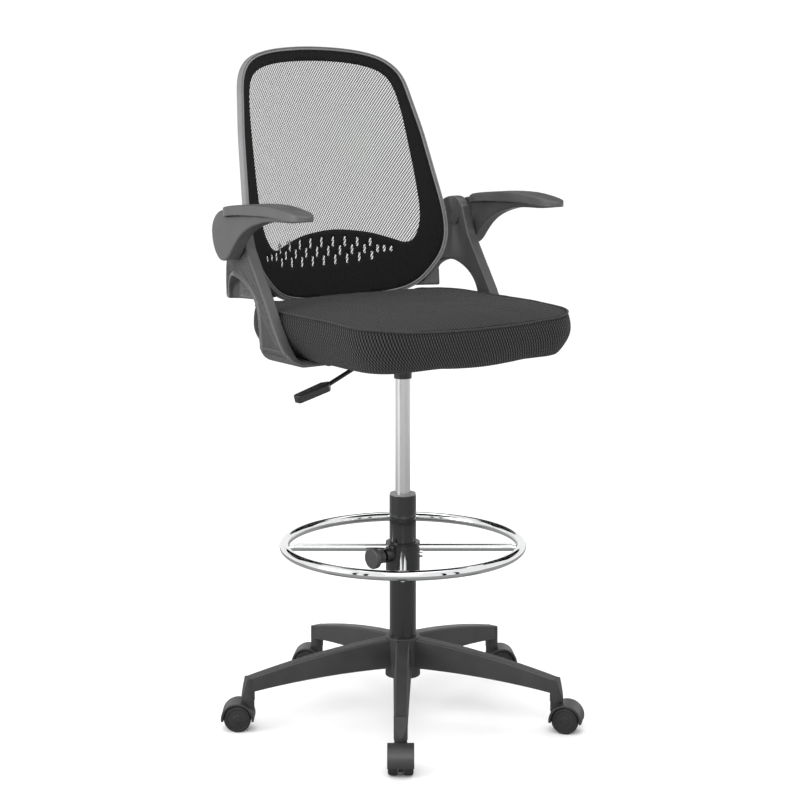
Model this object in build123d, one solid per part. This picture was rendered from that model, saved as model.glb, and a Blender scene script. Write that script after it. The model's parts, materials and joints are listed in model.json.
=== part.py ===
from build123d import *
import math
import os

# Drafting chair, millimetres. Origin on the floor on the column axis, +Z up.
# The seat faces -Y, so +X is the sitter's left.

# five-star base
LEGS = 5
LEG_FIRST_ANGLE = -126.7
CASTER_RADIUS = 300
SOCKET_BOTTOM = 57
LEG_TIP_TOP = 100
TIP_UNDERSIDE = 73
HUB_UNDERSIDE = 96
HUB_TOP = 153
HUB_BOTTOM = 77
HUB_OUTER = 33

# casters
WHEEL_R = 25
WHEEL_W = 17
WEB_HALF = 5
CASTER_TRAIL = 19
HOOD_R = 30.5
STEM_R = 5.5
AXLE_R = 3
CASTER_HEADINGS = (-126, -49, -31, 139, 144)

# gas column
COLUMN_R = 25
COLUMN_WALL = 1.5
COLUMN_TOP = 426
ROD_R = 14
GAS_BOTTOM = 315
GAS_TOP = 681
PISTON_ROD_R = 5

# foot ring
RING_R = 221.5
RING_TUBE_R = 9.2
RING_Z = 330
SPOKE_R = 7
SPOKE_ANGLES = (-126, -36, 54, 144)
COLLAR_R = 32
COLLAR_BOTTOM = 268
COLLAR_TOP = 336
BUSH_R = 28
KNOB_Z = 315
KNOB_R = 20

# seat
SEAT_HALF = 240
SEAT_FRONT = -247
SEAT_REAR = 197
SEAT_CORNER = 82
CUSHION_LOW = 688
BOARD_BOTTOM = 700
BOARD_INSET = 40
BOARD_T = 12
PLATE_BOTTOM = 670
SOCKET_LOW = 646
LEVER_Z = 687

# arms
ARM_IN = 261.5
ARM_OUT = 299
PIVOT_Y = 156
PIVOT_Z = 919
PIVOT_R = 8
BRACKET_IN = 240.5
BRACKET_OUT = 261
FOOT_T = 10
FOOT_BEND = 32
BRACKET_BOLT_X = 172
BRACKET_BOLT_Y = (-12, 46)
BACK_BOLT_X = 176
BACK_BOLT_SEAT = 200

# back
BACK_PLAN_R = 413
BACK_LOW_Z = 745
BACK_LOW_Y = 191.5
BACK_RECLINE = 13.4
MESH_T = 2.4
RIM_W = 12
RUN_FIT = 0.05
GAP = 0.3


def rod(radius, low, high, x=0, y=0):
    """Upright cylinder between two heights."""
    return Pos(x, y, (low + high) / 2) * Cylinder(radius, high - low)


def block(x0, x1, y0, y1, z0, z1):
    """Box between its six limits."""
    return Pos((x0 + x1) / 2, (y0 + y1) / 2, (z0 + z1) / 2) * Box(x1 - x0, y1 - y0, z1 - z0)


def pin_x(radius, x0, x1, y, z):
    """Cylinder along X."""
    return Pos((x0 + x1) / 2, y, z) * Rot(0, 90, 0) * Cylinder(radius, abs(x1 - x0))


def pin_y(radius, y0, y1, x, z):
    """Cylinder along Y."""
    return Pos(x, (y0 + y1) / 2, z) * Rot(90, 0, 0) * Cylinder(radius, abs(y1 - y0))


def side_plane(x):
    """Plane whose drawing axes are Y and Z, seen along +X."""
    return Plane(origin=(x, 0, 0), x_dir=(0, 1, 0), z_dir=(1, 0, 0))


def front_plane(y):
    """Plane whose drawing axes are X and Z; extruding goes towards -Y."""
    return Plane(origin=(0, y, 0), x_dir=(1, 0, 0), z_dir=(0, -1, 0))


def side_solid(face, x0, x1):
    """Extrude a Y-Z drawing from x0 to x1."""
    return extrude(side_plane(x0) * face, amount=x1 - x0)


def front_solid(face, y_near, y_far):
    """Extrude an X-Z drawing from y_far towards the sitter, to y_near."""
    return extrude(front_plane(y_far) * face, amount=y_far - y_near)


def largest(shape):
    """The biggest solid of a shape that a cut may have split."""
    return max(shape.solids(), key=lambda solid: solid.volume)


# ---------------------------------------------------------------- base

def leg_size(radius):
    """Top, underside and the two half widths of a leg at this radius."""
    share = (radius - HUB_OUTER) / (CASTER_RADIUS - HUB_OUTER)
    top = HUB_TOP - 2 - (HUB_TOP - 2 - LEG_TIP_TOP) * (0.55 * share + 0.45 * share ** 2)
    low = HUB_UNDERSIDE - (HUB_UNDERSIDE - TIP_UNDERSIDE) * share ** 2
    return top, low, 13 - 2 * share, 17.5 - 5.5 * share


def leg_slice(radius, shrink, drop):
    """Closed slice of a leg, drawn on the plane across it."""
    top, low, half_top, half_low = leg_size(radius)
    top -= shrink
    low -= drop
    points = [(-half_low + shrink, low), (half_low - shrink, low), (half_top - shrink, top), (-half_top + shrink, top)]
    face = make_face(Polyline(*points, close=True))
    face = fillet(face.vertices().sort_by(Axis.Y)[-2:], 3.2)
    return side_plane(radius) * face


def one_leg():
    """Ribbed channel leg along +X with the caster socket at its end."""
    outer = loft([leg_slice(radius, 0, 0) for radius in (18, 90, 160, 230, CASTER_RADIUS)])
    inner = loft([leg_slice(radius, 3.4, 4) for radius in (42, 100, 170, 230, CASTER_RADIUS - 14)])
    ribs = [block(radius - 1.3, radius + 1.3, -20, 20, TIP_UNDERSIDE, HUB_TOP) & outer for radius in (92, 146, 200, 248)]
    leg = outer - inner
    for rib in ribs:
        leg += rib
    leg += rod(12.4, SOCKET_BOTTOM, LEG_TIP_TOP - 1, CASTER_RADIUS)
    slope = Polyline((CASTER_RADIUS + 12.4, SOCKET_BOTTOM + 6), (CASTER_RADIUS + 3, LEG_TIP_TOP + 1),
                     (CASTER_RADIUS + 30, LEG_TIP_TOP + 1), (CASTER_RADIUS + 30, SOCKET_BOTTOM + 6), close=True)
    leg -= front_solid(make_face(slope), -20, 20)
    return leg - rod(STEM_R + RUN_FIT, SOCKET_BOTTOM - 1, SOCKET_BOTTOM + 33, CASTER_RADIUS)


def star_base():
    """Hub, five legs and the bore the column drops into."""
    body = rod(HUB_OUTER, HUB_BOTTOM, HUB_TOP)
    for step in range(LEGS):
        body += Rot(0, 0, LEG_FIRST_ANGLE + 360 / LEGS * step) * one_leg()
    top_edge = body.edges().filter_by(GeomType.CIRCLE).group_by(Axis.Z)[-1]
    body = fillet(top_edge, 1.5)
    return body - rod(COLUMN_R, HUB_BOTTOM - 1, HUB_TOP + 1)


# ---------------------------------------------------------------- casters
# Each caster is drawn with its stem on the origin and its wheels trailing to +X.

def caster_housing():
    """Web between the wheels, hood over them and the boss round the stem."""
    centre_z = WHEEL_R
    width = WEB_HALF + WHEEL_W + 1.5
    hood = pin_y(HOOD_R, -width, width, CASTER_TRAIL, centre_z)
    hood -= pin_y(WHEEL_R + 1.2, -width - 1, width + 1, CASTER_TRAIL, centre_z)
    hood -= block(CASTER_TRAIL - 40, CASTER_TRAIL + 40, -40, 40, -10, centre_z - 4)
    hood = fillet(hood.edges().filter_by(GeomType.CIRCLE), 1.0)
    web = pin_y(WHEEL_R - 5, -WEB_HALF, WEB_HALF, CASTER_TRAIL, centre_z)
    web += block(CASTER_TRAIL - 20, CASTER_TRAIL + 20, -WEB_HALF, WEB_HALF, centre_z, centre_z + 20)
    web &= pin_y(HOOD_R - 0.5, -WEB_HALF, WEB_HALF, CASTER_TRAIL, centre_z)
    boss = rod(11.5, centre_z + 12, SOCKET_BOTTOM - 0.5)
    boss -= pin_y(WHEEL_R + 1.2, -40, -WEB_HALF, CASTER_TRAIL, centre_z)
    boss -= pin_y(WHEEL_R + 1.2, WEB_HALF, 40, CASTER_TRAIL, centre_z)
    housing = hood + web + boss
    housing -= rod(STEM_R, centre_z + 14, SOCKET_BOTTOM + 1)
    return housing - pin_y(AXLE_R, -60, 60, CASTER_TRAIL, centre_z)


def caster_stem():
    """Steel stem pressed into the housing, free to turn in the leg socket."""
    top = SOCKET_BOTTOM + 31
    stem = rod(STEM_R, WHEEL_R + 14, top)
    return stem - (rod(STEM_R + 1, top - 8, top - 6) - rod(STEM_R - 0.8, top - 8, top - 6))


def caster_axle():
    """Axle through the web."""
    half = WEB_HALF + WHEEL_W - 3
    return pin_y(AXLE_R, -half, half, CASTER_TRAIL, WHEEL_R)


def caster_wheel(side):
    """Wheel with a rounded tread, a dished face and a blind hub."""
    near = WEB_HALF + 0.5
    far = near + WHEEL_W
    outline = [(0, near), (WHEEL_R - 2, near), (WHEEL_R, near + 2), (WHEEL_R, far - 3), (WHEEL_R - 3, far),
               (WHEEL_R - 5, far), (WHEEL_R - 6, far - 1.8), (8, far - 1.2), (7, far - 0.2), (0, far)]
    profile = make_face(Plane.XY * Polyline(*outline, close=True))
    wheel = revolve(profile, Axis.Y)
    wheel -= Pos(0, near + 7.2, 0) * Rot(90, 0, 0) * Cylinder(AXLE_R + RUN_FIT, 14.6)
    wheel = Pos(CASTER_TRAIL, 0, WHEEL_R) * wheel
    return wheel if side > 0 else mirror(wheel, Plane.XZ)


def place_caster(shape, index):
    """Put a caster piece under its leg, trailing along its own heading."""
    leg_angle = math.radians(LEG_FIRST_ANGLE + 360 / LEGS * index)
    x = CASTER_RADIUS * math.cos(leg_angle)
    y = CASTER_RADIUS * math.sin(leg_angle)
    return Pos(x, y, 0) * Rot(0, 0, CASTER_HEADINGS[index]) * shape


# ---------------------------------------------------------------- column

def column_tube():
    """Outer tube of the gas lift, closed below."""
    tube = rod(COLUMN_R, HUB_BOTTOM + 2, COLUMN_TOP) - rod(COLUMN_R - COLUMN_WALL, HUB_BOTTOM + 6, COLUMN_TOP + 1)
    tube = fillet(tube.edges().filter_by(GeomType.CIRCLE).group_by(Axis.Z)[-1], 0.5)
    return tube - rod(PISTON_ROD_R + 0.1, HUB_BOTTOM, HUB_BOTTOM + 7)


def column_guide():
    """Plastic sleeve at the top of the tube, with a lip on it."""
    sleeve = rod(COLUMN_R - COLUMN_WALL, COLUMN_TOP - 68, COLUMN_TOP) + rod(COLUMN_R - 1, COLUMN_TOP, COLUMN_TOP + 3)
    return sleeve - rod(ROD_R + RUN_FIT, COLUMN_TOP - 69, COLUMN_TOP + 4)


def thrust_bearing():
    """Washer stack the piston rod's shoulder turns on."""
    return rod(13, HUB_BOTTOM + 6, HUB_BOTTOM + 12) - rod(PISTON_ROD_R + 0.1, HUB_BOTTOM + 5, HUB_BOTTOM + 13)


def base_clip():
    """Spring clip that keeps the rod's foot in the tube."""
    return rod(9, HUB_BOTTOM - 0.5, HUB_BOTTOM + 2) - rod(3.5, HUB_BOTTOM - 1, HUB_BOTTOM + 3)


def piston_rod():
    """Thin rod that stands on the thrust bearing."""
    shaft = rod(3.4, HUB_BOTTOM - 4, HUB_BOTTOM + 4) + rod(PISTON_ROD_R, HUB_BOTTOM + 2.1, GAS_BOTTOM + 22)
    return shaft + rod(9, HUB_BOTTOM + 12.05, HUB_BOTTOM + 16)


def piston():
    """Piston head on the rod, inside the gas tube."""
    low = GAS_BOTTOM + 22
    ring = rod(ROD_R, low + 4, low + 6) - rod(ROD_R - 4, low + 4, low + 6)
    return rod(ROD_R - 2.5 - RUN_FIT, low, low + 10) - ring


def gas_tube():
    """Ground steel tube that rises and falls with the seat."""
    tube = rod(ROD_R, GAS_BOTTOM, GAS_TOP) - rod(ROD_R - 2.5, GAS_BOTTOM + 18, GAS_TOP - 16)
    tube -= rod(PISTON_ROD_R + RUN_FIT, GAS_BOTTOM - 1, GAS_BOTTOM + 19)
    return tube - rod(4 + RUN_FIT, GAS_TOP - 17, GAS_TOP + 1)


def release_pin():
    """Pin the height lever presses to open the valve."""
    return rod(4, GAS_TOP - 22, GAS_TOP + 6)


# ---------------------------------------------------------------- foot ring

def foot_ring():
    """Round tube bent to a ring."""
    return Pos(0, 0, RING_Z) * Torus(RING_R, RING_TUBE_R)


def ring_spokes():
    """Four spokes with pressed, dropped ends, mitred to the ring."""
    spokes = []
    for angle in SPOKE_ANGLES:
        spoke = pin_x(SPOKE_R, COLLAR_R - 0.5, RING_R - 16, 0, RING_Z - 6)
        spoke += pin_x(SPOKE_R - 1.5, RING_R - 17, RING_R - 2, 0, RING_Z - 7)
        spokes.append(Rot(0, 0, angle) * spoke - foot_ring() - rod(COLLAR_R, RING_Z - 40, RING_Z + 20))
    return Compound([largest(spoke) for spoke in spokes])


def knob_frame():
    """Local frame of the clamp: +X points from the axis to the knob."""
    return Pos(0, 0, KNOB_Z) * Rot(0, 0, -176)


def ring_collar():
    """Collar turned by the spokes, with the boss for the clamp screw."""
    collar = rod(COLLAR_R, COLLAR_BOTTOM + 4 + GAP, COLLAR_TOP - 4 - GAP)
    collar += knob_frame() * pin_x(13, 20, 46, 0, 0)
    collar -= rod(BUSH_R + RUN_FIT, COLLAR_BOTTOM, COLLAR_TOP)
    collar -= knob_frame() * pin_x(7.3, 20, 36.5, 0, 0)
    return collar - knob_frame() * pin_x(4 + RUN_FIT, 30, 50, 0, 0)


def collar_bush():
    """Flanged sleeve that slides on the column."""
    bush = rod(BUSH_R, COLLAR_BOTTOM, COLLAR_TOP)
    bush += rod(COLLAR_R, COLLAR_BOTTOM, COLLAR_BOTTOM + 4)
    bush += rod(COLLAR_R, COLLAR_TOP - 4, COLLAR_TOP)
    return bush - rod(COLUMN_R + RUN_FIT, COLLAR_BOTTOM - 1, COLLAR_TOP + 1)


def clamp_pad():
    """Brake pad that the screw pushes on the bush."""
    return knob_frame() * pin_x(7, 31.6, 33.8, 0, 0)


def clamp_screw():
    """Threaded rod from the pad to the knob."""
    return knob_frame() * pin_x(4, 33.9, 62, 0, 0)


def clamp_knob():
    """Disc knob with a ribbed hub."""
    hub = pin_x(11, 50, 70, 0, 0)
    for step in range(10):
        angle = math.radians(36 * step)
        hub += pin_x(1.6, 50, 68, 11 * math.cos(angle), 11 * math.sin(angle))
    disc = pin_x(KNOB_R, 66, 77, 0, 0)
    disc = fillet(disc.edges().filter_by(GeomType.CIRCLE), 3)
    return knob_frame() * (hub + disc - pin_x(4, 49, 62, 0, 0))


def spoke_screws():
    """Cap screws through the collar into each spoke root."""
    screws = []
    for angle in SPOKE_ANGLES:
        head = pin_x(5, COLLAR_R, COLLAR_R + 5, 0, RING_Z - 20)
        head -= pin_x(2, COLLAR_R + 2.5, COLLAR_R + 6, 0, RING_Z - 20)
        screws.append(Rot(0, 0, angle) * (head - rod(COLLAR_R, RING_Z - 40, RING_Z)))
    return Compound([largest(screw) for screw in screws])


# ---------------------------------------------------------------- seat

def seat_plate():
    """Pressed steel plate with a box for the taper socket and the lever."""
    plate = block(-98, 98, -92, 92, BOARD_BOTTOM - 3, BOARD_BOTTOM)
    plate = fillet(plate.edges().filter_by(Axis.Z), 14)
    walls = block(-70, 60, -36, 36, PLATE_BOTTOM, BOARD_BOTTOM - 3)
    walls = fillet(walls.edges().filter_by(Axis.Z), 8)
    walls -= block(-67, 57, -33, 33, PLATE_BOTTOM + 3, BOARD_BOTTOM - 3)
    plate += walls
    plate += block(-40, -28, 9, 12, PLATE_BOTTOM + 3, BOARD_BOTTOM - 3)
    plate += block(-40, -28, -12, -9, PLATE_BOTTOM + 3, BOARD_BOTTOM - 3)
    plate -= block(-72, -60, -9, 9, PLATE_BOTTOM + 9, BOARD_BOTTOM - 3)
    plate -= pin_y(2.5, -40, 40, -34, LEVER_Z)
    for x in (-84, 84):
        for y in (-76, 76):
            plate -= rod(3.3, BOARD_BOTTOM - 5, BOARD_BOTTOM + 1, x, y)
    return plate - rod(16.6, PLATE_BOTTOM - 1, PLATE_BOTTOM + 4)


def taper_socket():
    """Black socket welded in the plate, gripping the top of the gas tube."""
    socket = rod(16.6, SOCKET_LOW, PLATE_BOTTOM + 8) - rod(ROD_R, SOCKET_LOW - 1, PLATE_BOTTOM + 9)
    return fillet(socket.edges().filter_by(GeomType.CIRCLE).group_by(Axis.Z)[0][-1:], 0.8)


def lever_bar():
    """Round bar of the height lever, bent down towards the paddle."""
    points = [(-12, LEVER_Z + 2.5), (-80, LEVER_Z), (-172, LEVER_Z - 40), (-206, LEVER_Z - 50)]
    path = Polyline(*[(x, 0, z) for x, z in points])
    path = fillet(path.vertices().sort_by(Axis.X)[1:3], 14)
    start = Plane(origin=path @ 0, z_dir=path % 0)
    return sweep(start * Circle(4), path=path)


def height_lever():
    """Bar with the flat that presses the pin and an eye on the pivot."""
    tongue = block(-36, 6, -5, 5, LEVER_Z + 0.4, LEVER_Z + 5.5)
    eye = pin_y(7, -8.5, 8.5, -34, LEVER_Z)
    lever = lever_bar() + tongue + eye
    return lever - pin_y(2.5 + RUN_FIT, -9, 9, -34, LEVER_Z)


def lever_paddle():
    """Flat plastic paddle over the end of the bar."""
    outline = Polyline((-236, -10), (-172, -13), (-160, 0), (-172, 13), (-236, 10), close=True)
    paddle = extrude(make_face(outline), amount=14)
    paddle = fillet(paddle.edges().filter_by(Axis.Z), 5)
    paddle = fillet(paddle.faces().sort_by(Axis.Z)[-1].edges(), 2.5)
    paddle = Pos(-172, 0, LEVER_Z - 40) * Rot(0, -15, 0) * Pos(172, 0, -7) * paddle
    return largest(paddle - lever_bar())


def lever_pin():
    """Pivot pin across the lugs of the plate."""
    return pin_y(2.5, -14, 14, -34, LEVER_Z)


def seat_outline(inset):
    """Rounded plan of the seat, drawn on the ground plane."""
    width = 2 * (SEAT_HALF - inset)
    depth = SEAT_REAR - SEAT_FRONT - 2 * inset
    centre = (SEAT_REAR + SEAT_FRONT) / 2
    return Pos(0, centre) * RectangleRounded(width, depth, SEAT_CORNER - inset)


def seat_board():
    """Moulded plywood board under the cushion."""
    board = Pos(0, 0, BOARD_BOTTOM) * extrude(seat_outline(BOARD_INSET), amount=BOARD_T)
    for x, y in board_holes():
        board -= rod(3.3, BOARD_BOTTOM - 1, BOARD_BOTTOM + 9, x, y)
    return board


def board_holes():
    """Screw places in the board: four for the plate and two for each bracket foot."""
    plate = [(x, y) for x in (-84, 84) for y in (-76, 76)]
    feet = [(x, y) for x in (-BRACKET_BOLT_X, BRACKET_BOLT_X) for y in BRACKET_BOLT_Y]
    return plate + feet


def seat_cushion():
    """Foam cushion: tucked in below, hollowed behind for the back, with a waterfall front."""
    edge = SEAT_HALF + 5
    low = CUSHION_LOW
    skirt = Pos(0, 0, low) * extrude(seat_outline(34), amount=54, taper=-math.degrees(math.atan(34 / 54)))
    blank = skirt + Pos(0, 0, low + 54) * extrude(seat_outline(0), amount=80)
    sides = Polyline((-edge, low + 36), (-edge, 830), (edge, 830), (edge, low + 36))
    under = [*sides.edges(), ThreePointArc((edge, low + 36), (0, low + 5), (-edge, low + 36))]
    blank &= front_solid(make_face(under), SEAT_FRONT - 5, SEAT_REAR + 5)
    front = SEAT_FRONT - 5
    rear = SEAT_REAR + 5
    top = [Spline((front, 762), (front + 50, 781), (front + 135, 789), (60, 788), (rear, 785)),
           Line((rear, 785), (rear, 670)), Line((rear, 670), (front, 670)), Line((front, 670), (front, 762))]
    blank &= side_solid(make_face(top), -edge, edge)
    pocket = Pos(0, 0, low - 5) * extrude(seat_outline(BOARD_INSET), amount=BOARD_BOTTOM + BOARD_T - low + 5)
    tail = block(-SEAT_HALF, SEAT_HALF, SEAT_REAR - 60, rear, low - 5, BOARD_BOTTOM + BOARD_T)
    back = front_solid(back_outline(-GAP), 60, 360) & back_shell(-8 - GAP, 40)
    return largest(blank - pocket - tail - back)


# ---------------------------------------------------------------- back

def back_shell(front, rear):
    """Slab along the back: a plan arc carried up the recline, between two offsets from it."""
    centre = BACK_LOW_Y - BACK_PLAN_R
    reach = math.radians(40)
    arcs = []
    for radius in (BACK_PLAN_R + front, BACK_PLAN_R + rear):
        x = radius * math.sin(reach)
        y = centre + radius * math.cos(reach)
        arcs.append(ThreePointArc((-x, y), (0, centre + radius), (x, y)))
    ends = [Line(arcs[0] @ 0, arcs[1] @ 0), Line(arcs[0] @ 1, arcs[1] @ 1)]
    section = Pos(0, 0, BACK_LOW_Z) * make_face(arcs + ends)
    lean = math.radians(BACK_RECLINE)
    return extrude(section, amount=530 / math.cos(lean), dir=(0, math.sin(lean), math.cos(lean)))


def back_outline(inset):
    """Front view of the back, drawn in X and Z, each point moved square to the edge by an inset."""
    right = [(60, 772), (108, 777), (145, 786), (171, 801), (192, 822), (211, 848), (223, 878), (227, 910),
             (223, 970), (215, 1030), (206, 1095), (195, 1150), (181, 1198), (155, 1224), (113, 1239), (60, 1246)]
    loop = right + [(-x, z) for x, z in reversed(right)]
    moved = []
    for index, (x, z) in enumerate(loop):
        before = loop[index - 1]
        after = loop[(index + 1) % len(loop)]
        along = (after[0] - before[0], after[1] - before[1])
        size = math.hypot(*along)
        moved.append((x - inset * along[1] / size, z + inset * along[0] / size))
    return make_face(Spline(*moved, periodic=True))


def back_frame():
    """Plastic loop with a lower crossbar that the brackets bolt to."""
    ring = front_solid(back_outline(0), 60, 360) - front_solid(back_outline(RIM_W), 59, 361)
    frame = largest(ring & back_shell(-8, 9))
    bar = front_solid(back_outline(RIM_W / 2), 60, 360) & back_shell(MESH_T / 2, 8)
    frame = largest(frame + (bar & block(-260, 260, 0, 400, BACK_LOW_Z, 830)))
    for x, z in back_bolt_places():
        frame -= pin_y(3.3, 120, 260, x, z)
    return largest(frame)


def back_mesh():
    """Knitted sheet stretched inside the loop."""
    return largest(front_solid(back_outline(RIM_W), 60, 360) & back_shell(-MESH_T / 2, MESH_T / 2))


def back_bolt_places():
    """X and Z of the bolts between the brackets and the lower crossbar."""
    return [(side * BACK_BOLT_X, height) for side in (-1, 1) for height in (801, 821)]


# ---------------------------------------------------------------- arms, drawn on the +X side

def bracket_blank():
    """Side view of the bracket: head, strut to the seat and leg to the back."""
    outer = Polyline((214, 791), (238, 789), (243, 815), (239, 847), (222, 885), (198, 930), (136, 944),
                     (117, 890), (88, 847), (51, 793), (32, 761), (10, 730), (-8, 713), (78, 713))
    arch = Spline((78, 713), (82, 760), (90, 790), (110, 814), (142, 831), (178, 836), (206, 823), (214, 791))
    plate = make_face([*outer.edges(), arch])
    soft = [vertex for vertex in plate.vertices() if 795 < vertex.Y < 925 or 725 < vertex.Y < 780]
    plate = side_solid(fillet(soft, 6), 190, BRACKET_OUT)
    plate += pin_x(32, 190, BRACKET_OUT, 167, 929)
    tuck = 31
    band = Polyline((BRACKET_IN, -60), (BRACKET_OUT, -60), (BRACKET_OUT, 165), (BRACKET_OUT - tuck, 244),
                    (BRACKET_IN - tuck, 244), (BRACKET_IN, 165), close=True)
    return plate & Pos(0, 0, 660) * extrude(make_face(band), amount=340)


def bracket_foot():
    """Foot that curls in under the seat board."""
    low = BOARD_BOTTOM - FOOT_T
    turn = BRACKET_OUT - FOOT_BEND
    inner = BRACKET_IN
    out = [Line((BRACKET_OUT, 730), (BRACKET_OUT, low + FOOT_BEND)),
           RadiusArc((BRACKET_OUT, low + FOOT_BEND), (turn, low), FOOT_BEND),
           Line((turn, low), (150, low)), Line((150, low), (150, BOARD_BOTTOM)),
           Line((150, BOARD_BOTTOM), (inner - 11, BOARD_BOTTOM)),
           RadiusArc((inner - 11, BOARD_BOTTOM), (inner, BOARD_BOTTOM + 11), -11),
           Line((inner, BOARD_BOTTOM + 11), (inner, 730)), Line((inner, 730), (BRACKET_OUT, 730))]
    foot = front_solid(make_face(out), -60, 90)
    plan = Polyline((280, -8), (240, -26), (150, -28), (150, 62), (240, 78), (280, 78), close=True)
    foot &= Pos(0, 0, 660) * extrude(make_face(plan), amount=100)
    slant = Polyline((-30, 688), (-26, 697), (-8, 713), (10, 730), (10, 735), (90, 735), (90, 688), close=True)
    return foot & side_solid(make_face(slant), 140, 290)


def bracket_tail():
    """Inward leg behind the back's crossbar."""
    plan = Polyline((229, 243), (238, 220), (222, 206), (206, 160), (152, 160), (152, 220), (206, 243), close=True)
    tail = Pos(0, 0, 789) * extrude(make_face(plan), amount=44)
    return tail - back_shell(-80, 9)


def arm_bracket():
    """Y-shaped nylon bracket joining arm, back and seat."""
    bracket = bracket_blank() + bracket_foot() + largest(bracket_tail())
    bracket -= pin_x(PIVOT_R, BRACKET_IN - 1, BRACKET_OUT + 1, PIVOT_Y, PIVOT_Z)
    bracket -= pin_x(12 + GAP, BRACKET_IN - 6, BRACKET_IN, PIVOT_Y, PIVOT_Z)
    for y in BRACKET_BOLT_Y:
        bracket -= rod(3.3, BOARD_BOTTOM - 20, BOARD_BOTTOM + 1, BRACKET_BOLT_X, y)
    for x, z in back_bolt_places()[2:]:
        bracket -= pin_y(3.3, 150, 260, x, z)
        bracket -= pin_y(6.5, BACK_BOLT_SEAT, 260, x, z)
    return largest(bracket)


def arm_profile():
    """Side view of the arm: hub at the rear, then the long pad carrier."""
    outline = Spline((189, 916), (181, 942), (160, 957), (132, 960), (60, 963), (0, 964), (-60, 960), (-86, 953),
                     (-52, 950), (34, 941), (84, 921), (116, 893), (136, 873), (158, 868), (180, 886), periodic=True)
    return make_face(outline)


def armrest():
    """Arm body outboard of the bracket, bored for the pivot."""
    arm = side_solid(arm_profile(), ARM_IN + 3, ARM_OUT - 8)
    hub = pin_x(25, ARM_IN, ARM_IN + 6, PIVOT_Y, PIVOT_Z)
    arm += hub
    arm -= arm_pad_blank()
    return largest(arm - pin_x(PIVOT_R + RUN_FIT, ARM_IN - 1, ARM_OUT - 14, PIVOT_Y, PIVOT_Z))


def arm_pad_blank():
    """Soft pad over the carrier, narrow and low at the tip."""
    edge = Spline((150, 961), (100, 970.5), (30, 976), (-40, 975), (-92, 968), (-120, 962))
    tip = Line((-120, 962), (-120, 956))
    under = Spline((-120, 956), (-92, 953.5), (-40, 957), (30, 957), (100, 953), (146, 947))
    side = make_face([edge, tip, under, Line(under @ 1, edge @ 0)])
    pad = side_solid(side, ARM_IN - 14, ARM_OUT + 10)
    middle = (ARM_IN + ARM_OUT) / 2 - 2
    right = [(0, -114), (16, -104), (23, -66), (27, 0), (27, 80), (22, 132), (0, 148)]
    loop = right + [(-x, y) for x, y in reversed(right[1:-1])]
    plan = Pos(middle, 0, 960) * extrude(make_face(Spline(*loop, periodic=True)), amount=60, both=True)
    return pad & plan


def arm_pad():
    """Arm pad, notched so it swings past the bracket head."""
    pad = arm_pad_blank() - pin_x(58, 200, ARM_IN + GAP, PIVOT_Y, PIVOT_Z)
    return largest(pad)


def arm_pivot():
    """Pivot pin pressed in the bracket, headed on the inside."""
    pin = pin_x(PIVOT_R, BRACKET_IN, ARM_IN + 22, PIVOT_Y, PIVOT_Z)
    return pin + pin_x(12, BRACKET_IN - 4, BRACKET_IN, PIVOT_Y, PIVOT_Z)


# ---------------------------------------------------------------- fasteners

def up_bolt(length):
    """Button-head bolt pointing up, the underside of its head on the ground plane."""
    head = fillet(rod(5.5, -3.5, 0).edges().group_by(Axis.Z)[0], 1.5)
    head += rod(3.25, 0, length)
    return head - Pos(0, 0, -3.5) * extrude(RegularPolygon(2, 6), amount=1.8)


def bolts():
    """All button-head bolts of the chair."""
    found = [Pos(x, y, BOARD_BOTTOM - 3) * up_bolt(11) for x, y in board_holes()[:4]]
    found += [Pos(x, y, BOARD_BOTTOM - FOOT_T) * up_bolt(18) for x, y in board_holes()[4:]]
    found += [Pos(x, BACK_BOLT_SEAT, z) * Rot(90, 0, 0) * up_bolt(27) for x, z in back_bolt_places()]
    return Compound([largest(bolt) for bolt in found])


# ---------------------------------------------------------------- write the files

def write(name, shape):
    """Save one node."""
    export_step(shape, f"parts/{name}.step")


def main():
    """Build every node and save it."""
    os.makedirs("parts", exist_ok=True)
    singles = (star_base, column_tube, column_guide, thrust_bearing, base_clip, piston_rod, piston, gas_tube,
               release_pin, foot_ring, ring_spokes, ring_collar, collar_bush, clamp_pad, clamp_screw, clamp_knob,
               spoke_screws, seat_plate, taper_socket, height_lever, lever_paddle, lever_pin, seat_board,
               seat_cushion, back_frame, back_mesh, bolts)
    for make in singles:
        write(make.__name__, make())
    caster = {"housing": caster_housing(), "stem": caster_stem(), "axle": caster_axle(),
              "wheel_a": caster_wheel(1), "wheel_b": caster_wheel(-1)}
    for index in range(LEGS):
        for piece, shape in caster.items():
            write(f"caster_{index + 1}_{piece}", place_caster(shape, index))
    for make in (arm_bracket, armrest, arm_pad, arm_pivot):
        shape = make()
        write(f"{make.__name__}_left", shape)
        write(f"{make.__name__}_right", mirror(shape, Plane.YZ))


main()
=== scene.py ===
# %% [markdown]
# # A drafting chair
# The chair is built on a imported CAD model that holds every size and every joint. This lesson gives it
# its looks: knitted mesh, a sewn seat cushion, moulded nylon, chrome and black enamel. Each step first
# says what the real piece is and how it is made, and then builds it. All lengths are in metres, and MM
# turns millimetres into them.

# %% Load the frame
import json
import math
import bmesh
import bpy
import numpy as np
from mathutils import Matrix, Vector, kdtree, noise
from mathutils.geometry import delaunay_2d_cdt

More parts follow.
